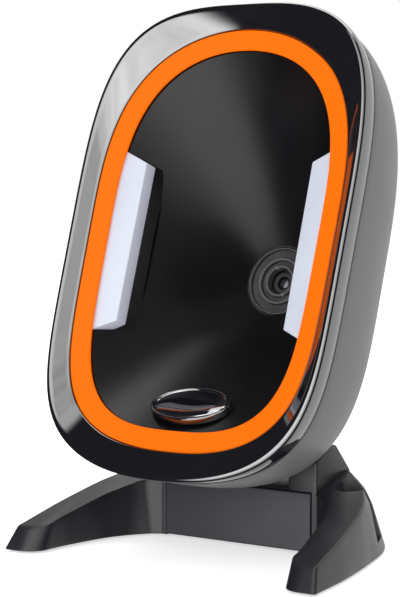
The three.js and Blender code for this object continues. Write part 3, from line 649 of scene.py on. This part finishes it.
def recess(wall):
    """The space round the pedestal, upright in the stand's frame."""
    y, z = PIVOT
    half = RECESS_HALF + wall
    space = block(-half, half, y - RECESS_FRONT - wall, 90, -40, z + RECESS_TOP + wall, 1.2)
    return make("recess", space, STAND)


def outer_body():
    """The shell's outside as a solid, with the pedestal's recess cut out."""
    stations = [
        (grown(SEAM_OVAL, -0.3), SEAM_DEPTH + 0.15),
        (grown(SEAM_OVAL, -0.06), SEAM_DEPTH + 0.25),
        (SEAM_OVAL, SEAM_DEPTH + 0.5),
    ]
    stations += shell_stations(0, 0.03, 0.997, 60)
    body = make("rear_cover", oval_solid(stations), HEAD)
    combine(body, recess(0), "DIFFERENCE")
    return body


shell = outer_body()
# The neck: a knuckle round the tilt pin, which slopes up into the shell's back
neck_outline = []
for k in range(25):
    angle = -math.pi / 2 + math.pi * k / 24
    neck_outline.append((NECK_RADIUS * math.sin(angle), -NECK_RADIUS * math.cos(angle)))
neck_outline += [(NECK_RADIUS, NECK_SHOULDER), (NECK_BACK, NECK_TOP), (-NECK_RADIUS, NECK_TOP)]
neck_outline = [(y + PIVOT[0], z + PIVOT[1]) for y, z in neck_outline]
combine(shell, make("neck", prism(neck_outline, -NECK_HALF, NECK_HALF, 0.8), STAND), "UNION")
cavity_stations = [(grown(SEAM_OVAL, -SHELL_WALL), SEAM_DEPTH - 2)]
cavity_stations += shell_stations(SHELL_WALL, 0.04, 0.96, 24)
cavity = make("cavity", oval_solid(cavity_stations), HEAD)
combine(cavity, recess(SHELL_WALL), "DIFFERENCE")
combine(shell, cavity, "DIFFERENCE")
pin_hole = lathe([(PIN_HOLE, -20), (PIN_HOLE, 20)], PIVOT, "x", 48, loop=False)
combine(shell, make("pin_hole", pin_hole, STAND), "DIFFERENCE")
pocket_half = SOCKET["half"] + GAP
pocket = block(-pocket_half, pocket_half, SOCKET["front"] - GAP, SHELL_DEPTH + 2,
               SOCKET["low"] - GAP, SOCKET["high"] + GAP)
combine(shell, make("pocket", pocket, HEAD), "DIFFERENCE")
# Profiles of a screw's boss and of its stepped well, as (radius, depth)
BOSS = [(3.4, 6), (3.4, SHELL_DEPTH)]
WELL = [(1.5, 4), (1.5, 12.6), (2.6, 12.6), (2.6, SHELL_DEPTH + 2)]
for place in SCREW_PLACES:
    boss = make("boss", lathe(BOSS, place, "y", 48, loop=False), HEAD)
    combine(boss, outer_body(), "INTERSECT")
    combine(shell, boss, "UNION")
    combine(shell, make("well", lathe(WELL, place, "y", 48, loop=False), HEAD), "DIFFERENCE")
crisp(shell, 28)
finish_piece(shell, "head", "shell_satin_grey", replaced=["rear_shell"])

# ---------- head: data socket ----------
mouth_half = SOCKET["half"] - SOCKET["wall"]
mouth_low = SOCKET["low"] + SOCKET["wall"]
mouth_high = SOCKET["high"] - SOCKET["wall"]
mouth_front = SOCKET["front"] + SOCKET["floor"]
mouth_back = SOCKET["back"] + 1
housing = block(-SOCKET["half"], SOCKET["half"], SOCKET["front"], SOCKET["back"],
                SOCKET["low"], SOCKET["high"], 0.4)
socket = make("socket_housing", housing, HEAD)
mouth = block(-mouth_half, mouth_half, mouth_front, mouth_back, mouth_low, mouth_high)
combine(socket, make("mouth", mouth, HEAD), "DIFFERENCE")
latch = block(-2.2, 2.2, SOCKET["front"] + 3, mouth_back, mouth_low - 0.7, mouth_low + 1)
combine(socket, make("latch", latch, HEAD), "DIFFERENCE")
crisp(socket)
finish_piece(socket, "head", "inner_black", replaced=["data_socket"])
WIRE_HALF = 0.2
WIRE_THICK = 0.12
contacts = bmesh.new()
for k in range(10):
    u = -4.6 + 9.2 * k / 9
    wire = []
    for t in range(9):
        s = t / 8
        wire.append((SOCKET["front"] + 1.9 + 3.4 * s, mouth_high - 0.35 - 2.6 * (1 - s) ** 1.6))
    for (d0, v0), (d1, v1) in zip(wire, wire[1:]):
        across = (u - WIRE_HALF, u + WIRE_HALF)
        corners = [(x, y, z) for y, z in ((d0, v0), (d1, v1)) for x in across]
        low = [contacts.verts.new((x, y, z - WIRE_THICK)) for x, y, z in corners]
        high = [contacts.verts.new((x, y, z + WIRE_THICK)) for x, y, z in corners]
        contacts.faces.new([low[i] for i in (0, 1, 3, 2)])
        contacts.faces.new([high[i] for i in (0, 2, 3, 1)])
        for a, b in ((0, 1), (1, 3), (3, 2), (2, 0)):
            contacts.faces.new((low[a], high[a], high[b], low[b]))
pins = make("socket_contacts", contacts, HEAD)
finish_piece(pins, "head", "screw_steel", look="contact_gold")

# ---------- stand ----------
DECK_LEVEL = 12.05  # height of the deck on the line y = 0
DECK_RISE = 0.27  # its slope towards the back
DECK_EDGE = 0.45  # rounding of its rim
TIP_FRONT = -25.8
TIP_LEAN = 0.6  # how far the front face leans back for each millimetre up
LEVELS = (0, 14, 18, 24)
# The right half's outer corners from the tip to the rear middle, each at the four levels
OUTER = [
    ((49, -25.8), (45, -25.8), (44.4, -25.8), (43.4, -25.8)),
    ((48.1, -16), (45.4, -16), (44.8, -16), (43.8, -16)),
    ((46.9, -6.1), (45.2, -6.1), (44.7, -6.1), (43.8, -6.1)),
    ((44.6, 6.4), (43.3, 6.6), (42.8, 6.6), (41.5, 6.6)),
    ((42.6, 15.3), (41.1, 14.6), (40.2, 14.2), (37, 13.5)),
    ((40.7, 23.1), (38.2, 21.6), (36.8, 20.6), (31.5, 19)),
    ((38.3, 30.2), (35, 28), (33, 26.5), (27, 24.5)),
    ((33.6, 38.6), (30.6, 35), (28.8, 33.2), (22.6, 30.4)),
    ((26, 45.2), (23.6, 40.8), (22.2, 38.6), (17, 34.6)),
    ((14, 49.2), (12.8, 44.4), (12, 42), (9, 37)),
    ((0, 50.4), (0, 45.4), (0, 42.8), (0, 37.6)),
]
# The inner outline on the ground and at the deck; the web beside the front panel widens upwards.
INNER = [
    ((25.4, 15.6), (25.4, 15.6)),
    ((27.9, 14.1), (29.8, 12.9)),
    ((30.6, 10.6), (31.4, 10.3)),
    ((32.5, 7.4), (32.8, 7.2)),
    ((34.8, 2.2), (34.9, 2.0)),
    ((36.4, -5), (36.4, -5)),
    ((37.6, -12), (37.6, -12)),
    ((38.2, -18.4), (38.2, -18.4)),
]
INNER_DECK = 20.0  # the height that the second place of each corner stands for
TIP_ARC = 6.0  # radius at the tip's inner corner
NOSE = 1.0  # radius at its outer corner


def catmull(points, steps):
    """A smooth line through points, each an array, with steps on each span."""
    points = [2 * points[0] - points[1]] + points + [2 * points[-1] - points[-2]]
    line = []
    for a, b, c, d in zip(points, points[1:], points[2:], points[3:]):
        for k in range(steps):
            t = k / steps
            curve = (2 * a - 5 * b + 4 * c - d) * t ** 2 + (3 * b - a - 3 * c + d) * t ** 3
            line.append(0.5 * ((2 * b) + (c - a) * t + curve))
    line.append(points[-2])
    return line


def half_outline():
    """The right half's columns: each a list of (x, y) at the four levels, from the rear middle forward
    along the outside, round the tip and back along the inside."""
    outer = catmull([np.array(corner, float) for corner in OUTER], 8)
    levels = np.array(LEVELS, float)
    inner_columns = []
    for ground, deck in INNER:
        share = (levels / INNER_DECK)[:, None]
        inner_columns.append(np.array(ground, float) * (1 - share) + np.array(deck, float) * share)
    web = inner_columns[:2]
    inner = [web[0] + (web[1] - web[0]) * k / 4 for k in range(4)] + catmull(inner_columns[1:], 7)
    arc = []
    centre = np.array([INNER[-1][0][0] + TIP_ARC, TIP_FRONT + TIP_ARC])
    for k in range(1, 13):
        angle = math.pi + math.pi / 2 * k / 12
        arc.append(np.array([centre + TIP_ARC * np.array([math.cos(angle), math.sin(angle)])] * 4))
    corner = outer[0]
    nose = []
    for k in range(6):
        angle = -math.pi / 2 + math.pi / 2 * k / 5
        nose.append(corner + NOSE * np.array([math.cos(angle) - 1, math.sin(angle) + 1]))
    front_face = [arc[-1] + (nose[0] - arc[-1]) * k / 4 for k in range(1, 4)]
    outer = [column for column in outer if column[0][1] > TIP_FRONT + 1.5 * NOSE]
    return outer[::-1], nose[::-1], front_face[::-1] + arc[::-1], inner[::-1]


def stand_columns():
    """The columns of the whole horseshoe, once round."""
    outer, nose, tip, inner = half_outline()
    right = outer + nose + tip + inner
    left = [np.array([[-x, y] for x, y in column]) for column in right[1:][::-1]]
    return right + left


def wall_at(column, z):
    """Where a column of the outline is at a height, with the tips leaning back."""
    x = float(np.interp(z, LEVELS, column[:, 0]))
    y = float(np.interp(z, LEVELS, column[:, 1]))
    near_tip = min(1.0, max(0.0, (-10.0 - y) / (-10.0 - TIP_FRONT)))
    return Vector((x, y + TIP_LEAN * z * near_tip))


def deck_height(column):
    """Where a column of the outline meets the sloping deck."""
    z = DECK_LEVEL
    for _ in range(40):
        z = 0.5 * z + 0.5 * (DECK_LEVEL + DECK_RISE * wall_at(column, z).y)
    return z


def horseshoe():
    """The stand's solid body, with a rounded rim round its deck."""
    columns = stand_columns()
    tops = [deck_height(column) for column in columns]
    rows = []
    outline_low = [wall_at(column, 0) for column in columns]
    turn = 1 if sum(a.cross(b) for a, b in zip(outline_low, outline_low[1:] + outline_low[:1])) > 0 else -1

    def row(lower, inset, share=None):
        """One ring of points: lower than the deck by a height, or at a share of the height to it."""
        if share is None:
            points = [wall_at(column, top - lower) for column, top in zip(columns, tops)]
            heights = [top - lower for top in tops]
        else:
            points = [wall_at(column, top * share) for column, top in zip(columns, tops)]
            heights = [top * share for top in tops]
        drawn = inset_outline(points, inset * turn) if inset else points
        if share is None and lower == 0:
            heights = [DECK_LEVEL + DECK_RISE * point.y for point in drawn]
        return [(point.x, point.y, height) for point, height in zip(drawn, heights)]

    rows.append([(p.x, p.y, 0) for p in inset_outline(outline_low, 0.3 * turn)])
    rows.append(row(0, 0.06, 0.012))
    rows.append(row(0, 0, 0.03))
    for share in (0.2, 0.4, 0.6, 0.8):
        rows.append(row(0, 0, share))
    for k in range(6):
        angle = math.pi / 2 * k / 5
        rows.append(row(DECK_EDGE * (1 - math.sin(angle)) or 1e-9, DECK_EDGE * (1 - math.cos(angle))))
    rows.append(row(0, DECK_EDGE + 0.15))
    return skin(rows)


base = make("stand_moulding", horseshoe(), STAND, sharp=30)

PEDESTAL_HALF = 25.3
PEDESTAL_FRONT = 15.6
PEDESTAL_TOP = 28.5
YOKE_HALF = 16.3
YOKE_FLOOR = 12.8
YOKE_BACK = 34.5
PANEL_TOP = 17
PANEL_HALF = 23.6
pedestal_profile = [
    (PEDESTAL_FRONT, 2),
    (37, 2),
    (37, 16),
    (34, 21),
    (26.4, PEDESTAL_TOP),
    (23, PEDESTAL_TOP),
    (PEDESTAL_FRONT, 25),
]
pedestal_ends = [[(x, y, z) for y, z in pedestal_profile] for x in (-PEDESTAL_HALF, PEDESTAL_HALF)]
pedestal = make("pedestal", skin(pedestal_ends), STAND)
for piece in (base, pedestal):
    yoke = block(-YOKE_HALF, YOKE_HALF, PEDESTAL_FRONT + 2.2, YOKE_BACK, YOKE_FLOOR, 40)
    combine(piece, make("yoke", yoke, STAND), "DIFFERENCE")
sill = block(-YOKE_HALF, YOKE_HALF, PEDESTAL_FRONT - 2, PEDESTAL_FRONT + 4, PANEL_TOP, 40)
combine(pedestal, make("sill", sill, STAND), "DIFFERENCE")
tidied(pedestal)
bevelled(pedestal, 0.7, 4)
combine(base, pedestal, "UNION")

CHANNEL_RADIUS = 4
CHANNEL = STAND @ Matrix.Translation((31.6, 23, 0)) @ Matrix.Rotation(math.radians(30), 4, "Z")
CHANNEL = CHANNEL @ Matrix.Translation((3, 0, 2.6)) @ Matrix.Rotation(math.radians(-12), 4, "Y")


def channel():
    """The cable channel: a round-ended groove down the right rear flank."""
    angles = [math.pi / 2 + math.pi * k / 20 for k in range(21)]
    outline = [(CHANNEL_RADIUS * math.cos(a), CHANNEL_RADIUS * math.sin(a)) for a in angles]
    outline += [(16, -CHANNEL_RADIUS), (16, CHANNEL_RADIUS)]
    return skin([[(x, y, z) for x, y in outline] for z in (0, 40)])


combine(base, make("channel", channel(), CHANNEL), "DIFFERENCE")
seat_half = PANEL_HALF + GAP
panel_seat = block(-seat_half, seat_half, PEDESTAL_FRONT - 3, PEDESTAL_FRONT + 1.4, -2, PANEL_TOP - 0.3)
combine(base, make("panel_seat", panel_seat, STAND), "DIFFERENCE")
pin_seat = lathe([(4.3, -30), (4.3, -PEDESTAL_HALF + 2)], PIVOT, "x", 64, loop=False)
combine(base, make("pin_seat", pin_seat, STAND), "DIFFERENCE")
pin_bore = lathe([(2.3, -30), (2.3, 22)], PIVOT, "x", 48, loop=False)
combine(base, make("pin_bore", pin_bore, STAND), "DIFFERENCE")


PLATE_OUTER = [(45, -12), (43.6, -2), (41.4, 8), (38.6, 19), (35.4, 28), (30, 35.8), (23, 41.4)]
PLATE_OUTER += [(12.5, 45.2), (0, 46.4)]
PLATE_INNER = [(27, 19.6), (32.4, 15.4), (35.6, 9.8), (38, 3.4), (39.4, -4), (40.2, -12)]


def plate_outline():
    """The base plate's outline: outside round the back, then back along the inside of the legs."""
    outer_left = [(-x, y) for x, y in PLATE_OUTER[:-1][::-1]]
    inner_left = [(-x, y) for x, y in PLATE_INNER[::-1]]
    return PLATE_OUTER + outer_left + inner_left + [(0, 20)] + PLATE_INNER


plate_seat = skin([[(x, y, z) for x, y in plate_outline()] for z in (-1, 2.7)])
plate_seat = make("plate_seat", plate_seat, STAND)
lining = lathe([(7, -5), (7, 30)], (35.5, 25.5), "z", 48, loop=False)
combine(plate_seat, make("lining", lining, STAND), "DIFFERENCE")
combine(base, plate_seat, "DIFFERENCE")
for x in (-43.6, 43.6):
    foot_seat = lathe([(3.3, -1), (3.3, 1.5)], (x, -17.6), "z", 48, loop=False)
    combine(base, make("foot_seat", foot_seat, STAND), "DIFFERENCE")
crisp(base, 26)
finish_piece(base, "stand", "stand_matt_grey", replaced=["stand_base"])

panel_body = block(-PANEL_HALF, PANEL_HALF, PEDESTAL_FRONT - 0.5, PEDESTAL_FRONT + 1.1,
                   0.6, PANEL_TOP - 0.6, 0.35)
panel = make("panel_moulding", panel_body, STAND)
finish_piece(panel, "stand", "panel_slate", replaced=["front_panel"])

# ---------- CAD nodes that stay, with their own finish ----------
def slot_of(name, node):
    """The record's material slot for a CAD node."""
    for entry in frame["record"]["materials"]:
        if name in entry.get("nodes", []):
            return entry["slot"]
    given = node.data.materials[0].name if node.data.materials else ""
    return next((slot for slot in LOOKS if slot in given), "inner_black")


for name, node in nodes.items():
    if node.hide_render:
        continue
    look = LOOKS[slot_of(name, node)]
    for holder in node.material_slots:
        holder.material = look

# ---------- floor and light ----------
def disc(radius, count=96):
    bm = bmesh.new()
    angles = [2 * math.pi * i / count for i in range(count)]
    bm.faces.new([bm.verts.new((radius * math.cos(a), radius * math.sin(a), 0)) for a in angles])
    return bm


floor = make("floor", disc(6), Matrix.Identity(4))
pale = bpy.data.materials.new("pale_floor")
pale.use_nodes = True
pale_shader = pale.node_tree.nodes["Principled BSDF"]
pale_shader.inputs["Base Color"].default_value = (0.9, 0.9, 0.9, 1)
pale_shader.inputs["Roughness"].default_value = 0.9
pale_shader.inputs["Emission Color"].default_value = (1, 1, 1, 1)
pale_shader.inputs["Emission Strength"].default_value = 0.55
floor.data.materials.append(pale)
floor.visible_glossy = False

world = bpy.data.worlds.new("studio")
scene.world = world
world.use_nodes = True
tree = world.node_tree
background = tree.nodes["Background"]
background.inputs["Color"].default_value = (1, 1, 1, 1)
direction = tree.nodes.new("ShaderNodeTexCoord")
split = tree.nodes.new("ShaderNodeSeparateXYZ")
tree.links.new(direction.outputs["Generated"], split.inputs["Vector"])


def step(value, start, stop, low=0.0, high=1.0, kind="SMOOTHSTEP"):
    """A value that runs from low at start to high at stop."""
    node = tree.nodes.new("ShaderNodeMapRange")
    node.interpolation_type = kind
    for socket, number in (("From Min", start), ("From Max", stop), ("To Min", low), ("To Max", high)):
        node.inputs[socket].default_value = number
    tree.links.new(value, node.inputs["Value"])
    return node.outputs["Result"]


def combined(how, first, second):
    """Two values added or multiplied."""
    node = tree.nodes.new("ShaderNodeMath")
    node.operation = how
    tree.links.new(first, node.inputs[0])
    tree.links.new(second, node.inputs[1])
    return node.outputs["Value"]


# A bright backdrop behind the scanner, in an otherwise dark room
backdrop_glow = step(split.outputs["Y"], 0.42, 0.78, 0.03, 1.0)
# A broad pale wall on the front right, which ends in a straight edge. It is brightest in front and
# mottled like a lit sheet.
WALL_SIDE = (0.866, -0.485, -0.123)
toward_wall = tree.nodes.new("ShaderNodeVectorMath")
toward_wall.operation = "DOT_PRODUCT"
toward_wall.inputs[1].default_value = WALL_SIDE
tree.links.new(direction.outputs["Generated"], toward_wall.inputs[0])
folds = tree.nodes.new("ShaderNodeTexNoise")
folds.inputs["Scale"].default_value = 5
tree.links.new(direction.outputs["Generated"], folds.inputs["Vector"])
sheet = step(toward_wall.outputs["Value"], -0.04, 0.06)
for share in (
    step(split.outputs["Y"], -0.6, -0.95, 1.5, 3.6, "LINEAR"),
    step(folds.outputs["Fac"], 0, 1, 0.55, 1.45, "LINEAR"),
    step(split.outputs["Y"], -0.15, -0.45),
):
    sheet = combined("MULTIPLY", sheet, share)
glow = combined("ADD", backdrop_glow, sheet)

# The camera sees plain white behind the scanner.
seen = tree.nodes.new("ShaderNodeLightPath")
strength = tree.nodes.new("ShaderNodeMix")
strength.data_type = "FLOAT"
strength.inputs["B"].default_value = 1.0
tree.links.new(seen.outputs["Is Camera Ray"], strength.inputs["Factor"])
tree.links.new(glow, strength.inputs["A"])
tree.links.new(strength.outputs["Result"], background.inputs["Strength"])


def softbox(name, toward, distance, width, height, power):
    """An area light that looks at the middle of the head from a direction."""
    light = bpy.data.lights.new(name, "AREA")
    light.shape = "RECTANGLE"
    light.size = width
    light.size_y = height
    light.energy = power
    lamp = bpy.data.objects.new(name, light)
    scene.collection.objects.link(lamp)
    aim = Vector(toward).normalized()
    lamp.location = head_origin + aim * distance
    lamp.rotation_euler = (-aim).to_track_quat("-Z", "Y").to_euler()


softbox("overhead", (-0.1, 0.3, 1), 1.6, 1.4, 1.4, 20)

scene.view_settings.view_transform = "Standard"
